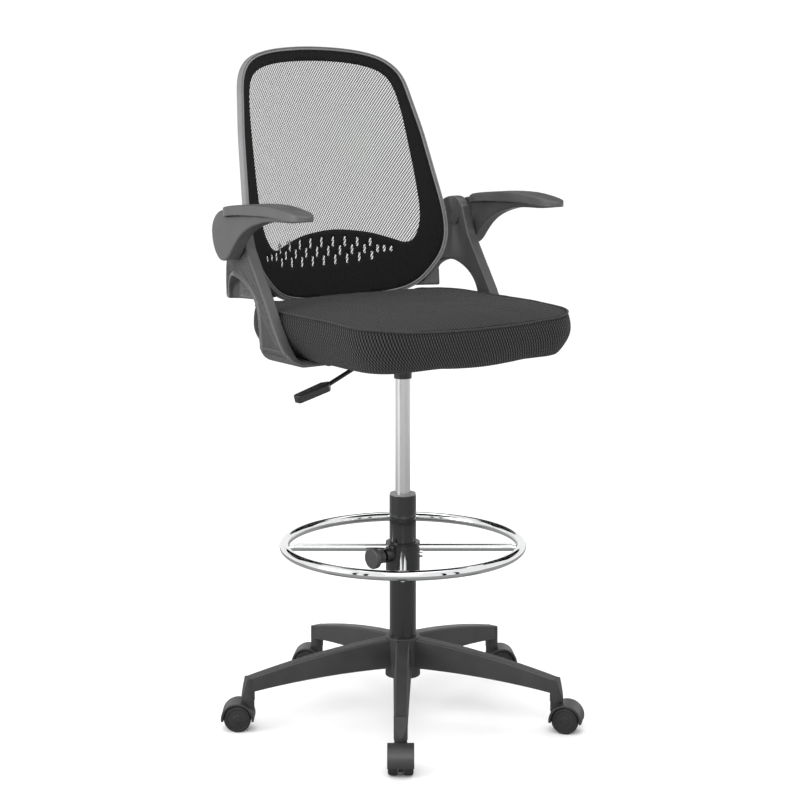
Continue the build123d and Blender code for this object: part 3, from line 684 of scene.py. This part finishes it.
def slot_loop(x, z, height):
    """A slot with round ends, leaning a little to the sitter's left."""
    half, radius, lean = height / 2, 2.9 * MM, 0.16
    loop = []
    for end in (1, -1):
        for step in range(5):
            angle = math.pi * step / 4 + (0 if end > 0 else math.pi)
            up = end * (half - radius) + radius * math.sin(angle)
            loop.append((x + radius * math.cos(angle) + lean * up, z + up))
    return np.array(loop)


knit_edge = moved_in(outer_edge, BEAD_INSIDE)
window = window_loop()
slots = slot_loops()
print("window", (np.ptp(window, axis=0) / MM).round(), "mm,", len(slots), "slots")

# %% [markdown]
# The dense part is one flat triangle mesh with the window and the slots left out. It is bent onto the
# back and then given its thickness.

# %% Dense part of the knit
dense_mesh = sheet_with_holes("back_knit_dense", knit_edge, [window] + slots, 7 * MM)
onto_back(dense_mesh, 0.0)
knit = new_piece("back_knit", dense_mesh, back_knit, "seat")
thick(knit, 1.8 * MM)
print("dense knit faces:", len(knit.data.polygons))

# %% [markdown]
# The open part is laid out flat as slanted cells, bent the same way and turned into yarn by the tree.
# Then both parts are joined into one sheet.

# %% Open part of the knit
YARN_ANGLES = (math.radians(52), math.radians(120))
YARN_SPACING = (4.2 * MM, 2.9 * MM)


def cell_patch(name, loops):
    """Slanted four-sided cells whose middles lie inside any of the loops."""
    crossing = math.sin(YARN_ANGLES[1] - YARN_ANGLES[0])
    step_a, step_b = (np.array([math.cos(angle), math.sin(angle)]) * spacing / crossing
                      for angle, spacing in zip(YARN_ANGLES, reversed(YARN_SPACING)))
    every = np.vstack(loops)
    centre = (every.min(0) + every.max(0)) / 2
    reach = int(np.ptp(every, axis=0).max() / min(YARN_SPACING)) + 6
    a, b = np.meshgrid(np.arange(-reach, reach), np.arange(-reach, reach))
    origins = centre + a.reshape(-1, 1) * step_a + b.reshape(-1, 1) * step_b
    keep = np.zeros(len(origins), bool)
    for loop in loops:
        keep |= inside(origins, loop)
    corners = {}
    faces = []
    around = ((0, 0), (1, 0), (1, 1), (0, 1))
    for i, j in zip(a.ravel()[keep], b.ravel()[keep]):
        faces.append([corners.setdefault((i + di, j + dj), len(corners)) for di, dj in around])
    places = [centre + (i - 0.5) * step_a + (j - 0.5) * step_b for i, j in corners]
    mesh = bpy.data.meshes.new(name)
    mesh.from_pydata([(x, 0, z) for x, z in places], [], faces)
    return mesh


def net_tree():
    """Geometry Nodes: shrink a copy of every cell inside itself and drop it, which leaves rings of yarn."""
    tree = bpy.data.node_groups.new("open knit", "GeometryNodeTree")
    face = tree.interface
    face.new_socket(name="Cells", in_out="INPUT", socket_type="NodeSocketGeometry")
    face.new_socket(name="Hole share", in_out="INPUT", socket_type="NodeSocketFloat")
    face.new_socket(name="Yarn", in_out="INPUT", socket_type="NodeSocketMaterial")
    face.new_socket(name="Net", in_out="OUTPUT", socket_type="NodeSocketGeometry")
    given = add(tree, "NodeGroupInput")
    inner = add(tree, "GeometryNodeExtrudeMesh",
                {"Mesh": given.outputs["Cells"], "Offset Scale": 0.0, "Individual": True})
    shrunk = add(tree, "GeometryNodeScaleElements", {"Geometry": inner.outputs["Mesh"],
                                                     "Selection": inner.outputs["Top"],
                                                     "Scale": given.outputs["Hole share"]})
    rings = add(tree, "GeometryNodeDeleteGeometry", {"Geometry": shrunk.outputs["Geometry"],
                                                     "Selection": inner.outputs["Top"]}, domain="FACE")
    real = add(tree, "GeometryNodeRealizeInstances", {"Geometry": rings.outputs["Geometry"]})
    yarn = add(tree, "GeometryNodeSetMaterial",
               {"Geometry": real.outputs["Geometry"], "Material": given.outputs["Yarn"]})
    add(tree, "NodeGroupOutput", {"Net": yarn.outputs["Geometry"]})
    return tree


def with_tree(piece, tree, **inputs):
    """Run a Geometry Nodes tree on a piece and keep the plain mesh it makes."""
    modifier = piece.modifiers.new(tree.name, "NODES")
    modifier.node_group = tree
    for item in tree.interface.items_tree:
        key = item.name.replace(" ", "_").lower()
        if item.in_out == "INPUT" and key in inputs:
            modifier[item.identifier] = inputs[key]
    return applied(piece)


def joined(first, *others):
    """Join other pieces into the first one, which keeps its name."""
    with bpy.context.temp_override(active_object=first, selected_editable_objects=[first, *others]):
        bpy.ops.object.join()
    return first


open_knit = net_tree()
nets = []
for name, loops, behind in [("back_knit_window", [moved_in(window, -3 * MM)], 0.0),
                            ("back_knit_slots", [moved_in(slot, -2.5 * MM) for slot in slots], 0.3 * MM)]:
    patch = cell_patch(name, loops)
    onto_back(patch, behind)
    net = new_piece(name, patch, net_knit, "seat")
    nets.append(with_tree(net, open_knit, hole_share=0.66, yarn=net_knit))
    print(name, "faces:", len(net.data.polygons))

joined(knit, *nets)
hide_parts("back_mesh")

# %% [markdown]
# ## Seat cushion
# Moulded foam in a sewn cover: a top panel and a side band, the boxing, meet in a raised seam. The foam
# presses both panels out between the seam and the board. Here the cover is a grid of rings, cut a
# little small, and a cloth simulation blows it up while the seam and the lower edge are held. How far a
# point may move is capped.

# %% Cushion grid
seat_low, seat_high = (np.array(corner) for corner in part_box("seat_cushion"))
board_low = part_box("seat_board")[0].z
SEAT_CORNER = 82 * MM
AROUND = 176


def seat_ring(inset):
    """Rounded rectangle, a distance in from the cushion's widest outline, anticlockwise from above."""
    low, high = seat_low[:2] + inset, seat_high[:2] - inset
    radius = max(SEAT_CORNER - inset, 12 * MM)
    loop = []
    for cx, cy, start in ((high[0] - radius, high[1] - radius, 0), (low[0] + radius, high[1] - radius, 90),
                          (low[0] + radius, low[1] + radius, 180), (high[0] - radius, low[1] + radius, 270)):
        for step in range(13):
            angle = math.radians(start + 7.5 * step)
            loop.append((cx + radius * math.cos(angle), cy + radius * math.sin(angle)))
    return even_loop(np.array(loop), AROUND)


def top_height(x, y):
    """Height of the seat's top: a waterfall front, a crown in the middle and a slight fall to the sides."""
    along = np.clip((y - seat_low[1]) / 0.13, 0, 1)
    front = 16 * MM * (1 - along) ** 2
    side = 9 * MM * np.abs(x / seat_high[0]) ** 3
    return seat_high[2] - 3 * MM - front - side


def seam_height(x, y):
    """Height of the seam round the top panel."""
    front = np.clip((-y - 0.10) / 0.147, 0, 1)
    middle = 1 - np.clip(np.abs(x) / 0.22, 0, 1) ** 2
    return 781 * MM - 6 * MM * front - 10 * MM * front * middle


def lower_height(x, y):
    """Height of the cushion's lower edge: deep in the middle of the front, cut short at the rear."""
    arch = 693 * MM + 31 * MM * (x / 0.245) ** 2
    rear = np.clip((y - 0.10) / 0.05, 0, 1)
    return arch * (1 - rear) + np.maximum(arch, board_low - 2 * MM) * rear


def cushion_rings():
    """Rings from under the cushion, up the boxing, over the seam and in to the middle of the top."""
    rings = []
    edge = seat_ring(0)
    low = lower_height(edge[:, 0], edge[:, 1])
    seam = seam_height(edge[:, 0], edge[:, 1])
    turn = np.minimum(low, board_low - 1.5 * MM)
    rings.append(np.column_stack([seat_ring(52 * MM), np.full(AROUND, board_low - 0.6 * MM)]))
    rings.append(np.column_stack([seat_ring(37 * MM), turn - 0.6 * MM]))
    for step in range(9):
        share = step / 8
        height = turn + (seam - turn) * share
        lift = np.clip((height - 688 * MM) / (56 * MM), 0, 1)
        inset = 34 * MM * (1 - lift) ** 1.7 + 2 * MM + 5 * MM * share ** 6
        rings.append(np.column_stack([ring_at(inset), height]))
    for inset in (13, 21, 31, 43, 57, 75, 95, 117):
        plan = seat_ring(min(inset, 78) * MM)
        centre = (seat_low[:2] + seat_high[:2]) / 2
        shrink = 1 - max(0, inset - 78) / 150
        plan = centre + (plan - centre) * shrink
        blend = np.clip((inset - 7) / 34, 0, 1) ** 0.55
        height = seam * (1 - blend) + top_height(plan[:, 0], plan[:, 1]) * blend
        rings.append(np.column_stack([plan, height]))
    return np.array(rings)


def ring_at(insets):
    """The outline moved in by a distance that changes along it."""
    near, far = seat_ring(0), seat_ring(40 * MM)
    share = (insets / (40 * MM))[:, None]
    return near * (1 - share) + far * share


rings = cushion_rings()
SEAM_RING = 10
print("cushion rings:", rings.shape)

# %% [markdown]
# The rings are skinned, and the middle of the top is filled by an even grid, because long thin faces
# that meet in one point would not swell evenly. Then the cloth simulation blows the cover up.

# %% Cushion cover
def fill_top(mesh, ring, first):
    """Replace the big face over a ring by an even grid of quads at the seat's height."""
    side = len(ring) // 4
    share = np.linspace(0, 1, side + 1)
    front, right = ring[:side + 1], ring[side:2 * side + 1]
    rear = ring[2 * side:3 * side + 1][::-1]
    left = np.vstack([ring[3 * side:], ring[:1]])[::-1]
    u, v = share[:, None, None], share[None, :, None]
    grid = (1 - v) * front[:, None] + v * rear[:, None] + (1 - u) * left[None] + u * right[None]
    grid -= (1 - u) * (1 - v) * front[0] + u * (1 - v) * front[-1] + (1 - u) * v * rear[0] + u * v * rear[-1]
    grid[..., 2] = top_height(grid[..., 0], grid[..., 1])
    work = bmesh.new()
    work.from_mesh(mesh)
    work.verts.ensure_lookup_table()
    large = [face for face in work.faces if len(face.verts) > 4]
    covers = [face for face in large if face.calc_center_median().z > seat_high[2] - 30 * MM]
    bmesh.ops.delete(work, geom=covers, context="FACES_ONLY")
    corner = [[None] * (side + 1) for row in range(side + 1)]
    for k in range(side):
        corner[k][0] = work.verts[first + k]
        corner[side][k] = work.verts[first + side + k]
        corner[side - k][side] = work.verts[first + 2 * side + k]
        corner[0][side - k] = work.verts[first + 3 * side + k]
    for i in range(1, side):
        for j in range(1, side):
            corner[i][j] = work.verts.new(grid[i, j])
    for i in range(side):
        for j in range(side):
            work.faces.new((corner[i][j], corner[i + 1][j], corner[i + 1][j + 1], corner[i][j + 1]))
    work.to_mesh(mesh)
    work.free()
    outward(mesh)


cushion_mesh = skin("seat_cushion", rings)
fill_top(cushion_mesh, rings[-1], (len(rings) - 1) * AROUND)
cushion = new_piece("seat_cushion", cushion_mesh, seat_top_knit, "seat")


def inflate(piece, held, cap, pressure, stiffness):
    """Blow a closed cover up by cloth simulation, holding some points and capping the others' travel."""
    group = piece.vertex_groups.new(name="held")
    for index, weight in held.items():
        group.add([index], weight, "REPLACE")
    start = np.array([v.co for v in piece.data.vertices])
    cloth = piece.modifiers.new("cover", "CLOTH")
    cloth.settings.quality = 6
    cloth.settings.mass = 0.3
    cloth.settings.tension_stiffness = stiffness
    cloth.settings.compression_stiffness = stiffness
    cloth.settings.shear_stiffness = stiffness / 2
    cloth.settings.bending_stiffness = 0.6
    cloth.settings.use_pressure = True
    cloth.settings.uniform_pressure_force = pressure
    cloth.settings.vertex_group_mass = "held"
    cloth.settings.effector_weights.gravity = 0
    cloth.collision_settings.use_collision = False
    for number in range(1, 21):
        bpy.context.scene.frame_set(number)
    puffed = piece.evaluated_get(bpy.context.evaluated_depsgraph_get()).to_mesh()
    moved = np.array([v.co for v in puffed.vertices]) - start
    piece.evaluated_get(bpy.context.evaluated_depsgraph_get()).to_mesh_clear()
    piece.modifiers.clear()
    piece.vertex_groups.clear()
    bpy.context.scene.frame_set(1)
    length = np.linalg.norm(moved, axis=1)
    moved *= np.minimum(1, cap / np.maximum(length, 1e-9))[:, None]
    piece.data.vertices.foreach_set("co", (start + moved).astype(np.float32).ravel())
    piece.data.update()
    return float(np.minimum(length, cap).max())


held = {}
for ring in range(len(rings)):
    weight = 1.0 if ring in (0, 1, 2, SEAM_RING) else 0.0
    if weight:
        held.update({ring * AROUND + k: weight for k in range(AROUND)})
for face in cushion.data.polygons:
    if len(face.vertices) > 4 and face.center.z < board_low + 2 * MM:
        held.update({index: 1.0 for index in face.vertices})
print("cushion swelled by", round(inflate(cushion, held, 9 * MM, 4.0, 25) / MM, 1), "mm")

# %% [markdown]
# ## Sewn details of the seat
# After the cover is blown up, thread pulls it in beside the seam, which leaves small puckers, and soft
# waves cross the panels. The rear is pressed forward where the back frame stands against it. Then one
# subdivision smooths the grid.

# %% Creases, panels and cloth coordinates
def crease_cover(piece):
    """Move points a little: puckers by the seam, soft waves over the panels."""
    mesh = piece.data
    for index, vertex in enumerate(mesh.vertices):
        ring, step = divmod(index, AROUND)
        if ring < 2:
            continue
        near_seam = math.exp(-((ring - SEAM_RING) / 1.8) ** 2)
        pucker = noise.noise(Vector((step * 0.55, ring * 0.4, 3.0))) * 1.1 * MM * near_seam
        wave = noise.noise(Vector(vertex.co) * 16.0) * 1.6 * MM * (1 - near_seam)
        vertex.co += vertex.normal * (pucker + wave)
    mesh.update()


def cloth_places(points):
    """Flat cloth coordinates of the grid: plan for the top, girth and height for the boxing."""
    top = points[:, :2].copy()
    ring = np.arange(len(points)) // AROUND
    edge = np.linalg.norm(np.diff(np.vstack([rings[SEAM_RING], rings[SEAM_RING][:1]]), axis=0), axis=1)
    girth = np.concatenate([[0], np.cumsum(edge)[:-1]])
    side = np.column_stack([np.tile(girth, len(points) // AROUND + 1)[:len(points)], points[:, 2]])
    return np.where((ring <= SEAM_RING)[:, None], side, top)


def clear_of_back(piece):
    """Press the rear of the cushion forward, so that it only meets the back frame."""
    for vertex in piece.data.vertices:
        x, y, z = vertex.co
        if z > 764 * MM and abs(x) < 165 * MM:
            nearest = back_point(x, z, -9.4 * MM)[1]
            ease = min(1.0, (z - 764 * MM) / (5 * MM), (165 * MM - abs(x)) / (15 * MM))
            vertex.co.y = min(y, y + (nearest - y) * ease)


crease_cover(cushion)
clear_of_back(cushion)
places = np.array([v.co for v in cushion.data.vertices])
cushion.data.materials.append(seat_side_knit)
for face in cushion.data.polygons:
    face.material_index = 1 if min(face.vertices) // AROUND < SEAM_RING else 0
set_cloth(cushion.data, cloth_places(places))
smoother = cushion.modifiers.new("smoother", "SUBSURF")
smoother.levels = 1
smoother.render_levels = 1
applied(cushion)
cushion.data.shade_smooth()
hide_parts("seat_cushion")
print("cushion faces:", len(cushion.data.polygons))

# %% [markdown]
# ## Welt and stitches
# The welt is a thin roll of the same knit, a tube skinned along the seam ring. A row of stitches runs
# beside it on the top panel. One stitch is copied along the line by a Geometry Nodes tree.

# %% Welt along the seam
def tube_along(points, radius, sides):
    """A closed round tube along a closed line of points."""
    points = np.array(points)
    ahead = np.roll(points, -1, 0) - np.roll(points, 1, 0)
    ahead /= np.linalg.norm(ahead, axis=1)[:, None]
    out = np.cross(ahead, np.array([0, 0, 1.0]))
    out /= np.linalg.norm(out, axis=1)[:, None]
    up = np.cross(out, ahead)
    turns = np.linspace(0, 2 * math.pi, sides, endpoint=False)
    rows = []
    for p, o, u in zip(points, out, up):
        rows.append([p + radius * (math.cos(a) * o + math.sin(a) * u) for a in turns])
    return rows


WELT_RADIUS = 1.9 * MM
WELT_SIDES = 10
seam_line = places[SEAM_RING * AROUND:(SEAM_RING + 1) * AROUND]
welt_mesh = skin("seat_welt", tube_along(even_loop(seam_line, 420), WELT_RADIUS, WELT_SIDES), looped=True)
welt_grid = [divmod(index, WELT_SIDES) for index in range(len(welt_mesh.vertices))]
set_cloth(welt_mesh, [(row * 4 * MM, side * 1.2 * MM) for row, side in welt_grid])
welt = new_piece("seat_welt", welt_mesh, seat_welt_knit, "seat")


def stitch_tree():
    """Geometry Nodes: a short, round stitch copied along a closed line at an even spacing."""
    tree = bpy.data.node_groups.new("row of stitches", "GeometryNodeTree")
    face = tree.interface
    face.new_socket(name="Line", in_out="INPUT", socket_type="NodeSocketGeometry")
    for name in ("Spacing", "Stitch length", "Thread radius"):
        face.new_socket(name=name, in_out="INPUT", socket_type="NodeSocketFloat")
    face.new_socket(name="Thread", in_out="INPUT", socket_type="NodeSocketMaterial")
    face.new_socket(name="Stitches", in_out="OUTPUT", socket_type="NodeSocketGeometry")
    given = add(tree, "NodeGroupInput")
    line = add(tree, "GeometryNodeMeshToCurve", {"Mesh": given.outputs["Line"]})
    spots = add(tree, "GeometryNodeCurveToPoints",
                {"Curve": line.outputs["Curve"], "Length": given.outputs["Spacing"]},
                mode="LENGTH")
    stitch = add(tree, "GeometryNodeMeshCylinder", {"Vertices": 7, "Radius": given.outputs["Thread radius"],
                                                    "Depth": given.outputs["Stitch length"]})
    copies = add(tree, "GeometryNodeInstanceOnPoints", {"Points": spots.outputs["Points"],
                                                        "Instance": stitch.outputs["Mesh"],
                                                        "Rotation": spots.outputs["Rotation"]})
    real = add(tree, "GeometryNodeRealizeInstances", {"Geometry": copies.outputs["Instances"]})
    thread = add(tree, "GeometryNodeSetMaterial", {"Geometry": real.outputs["Geometry"],
                                                   "Material": given.outputs["Thread"]})
    add(tree, "NodeGroupOutput", {"Stitches": thread.outputs["Geometry"]})
    return tree


def stitch_row(name, points):
    """A row of stitches along a closed line."""
    mesh = bpy.data.meshes.new(name)
    links = [(k, (k + 1) % len(points)) for k in range(len(points))]
    mesh.from_pydata([tuple(p) for p in points], links, [])
    row = new_piece(name, mesh, seat_welt_knit, "seat")
    return with_tree(row, stitch_tree(), spacing=6.5 * MM, stitch_length=4.2 * MM, thread_radius=0.5 * MM,
                     thread=seat_welt_knit)


stitches = stitch_row("seat_stitches", places[(SEAM_RING + 1) * AROUND:(SEAM_RING + 2) * AROUND])
print("stitch faces:", len(stitches.data.polygons))
print("welt is", round(float(np.linalg.norm(np.diff(seam_line, axis=0), axis=1).sum()), 2), "m long")

# %% [markdown]
# ## Moulded arms and brackets
# The CAD nodes have the right outlines and sharp edges. A moulded part has a radius on every edge and
# draws in a little between thick edges as it cools. So each is copied, merged, rebuilt on an even grid
# of small faces and smoothed, and the flat outer side of a bracket is sunk a little inside a raised
# border.

# %% Moulded copies
def moulded_copy(node, grain_mm, rounds, material, sink_mm=0.0, border_mm=0.0):
    """A rounded copy of a CAD node. With sink_mm, its outer side is sunk inside a raised border."""
    mesh = nodes[node].data.copy()
    work = bmesh.new()
    work.from_mesh(mesh)
    bmesh.ops.remove_doubles(work, verts=work.verts, dist=0.00001)
    work.to_mesh(mesh)
    work.free()
    piece = new_piece(node + "_moulded", mesh, material, nodes[node]["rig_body"])
    grid = piece.modifiers.new("grid", "REMESH")
    grid.mode = "VOXEL"
    grid.voxel_size = grain_mm * MM
    round_edges = piece.modifiers.new("round", "SMOOTH")
    round_edges.factor = 0.5
    round_edges.iterations = rounds
    applied(piece)
    if sink_mm:
        sink_side(piece.data, sink_mm, border_mm)
    piece.data.shade_smooth()
    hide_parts(node)
    return piece


def sink_side(mesh, sink_mm, border_mm):
    """Lower the flat outer side of a plate inside a border of even width."""
    outer = math.copysign(1, sum(v.co.x for v in mesh.vertices))
    walls = [v.co.copy() for v in mesh.vertices if abs(v.normal.x) < 0.6]
    tree = kdtree.KDTree(len(walls))
    for index, place in enumerate(walls):
        tree.insert(place, index)
    tree.balance()
    for vertex in mesh.vertices:
        if vertex.normal.x * outer > 0.9:
            away = tree.find(vertex.co)[2] / MM
            share = min(1, max(0, (away - border_mm) / 3))
            vertex.co.x -= outer * sink_mm * MM * share * share * (3 - 2 * share)
    mesh.update()


for side in ("left", "right"):
    bracket = moulded_copy("arm_bracket_" + side, 1.8, 5, finishes["bracket_nylon"], 2.6, 5.0)
    arm = moulded_copy("armrest_" + side, 1.8, 5, finishes["arm_nylon"])
    pad = moulded_copy("arm_pad_" + side, 1.4, 5, finishes["arm_pad_soft"])
    print(side, [len(piece.data.polygons) for piece in (bracket, arm, pad)])
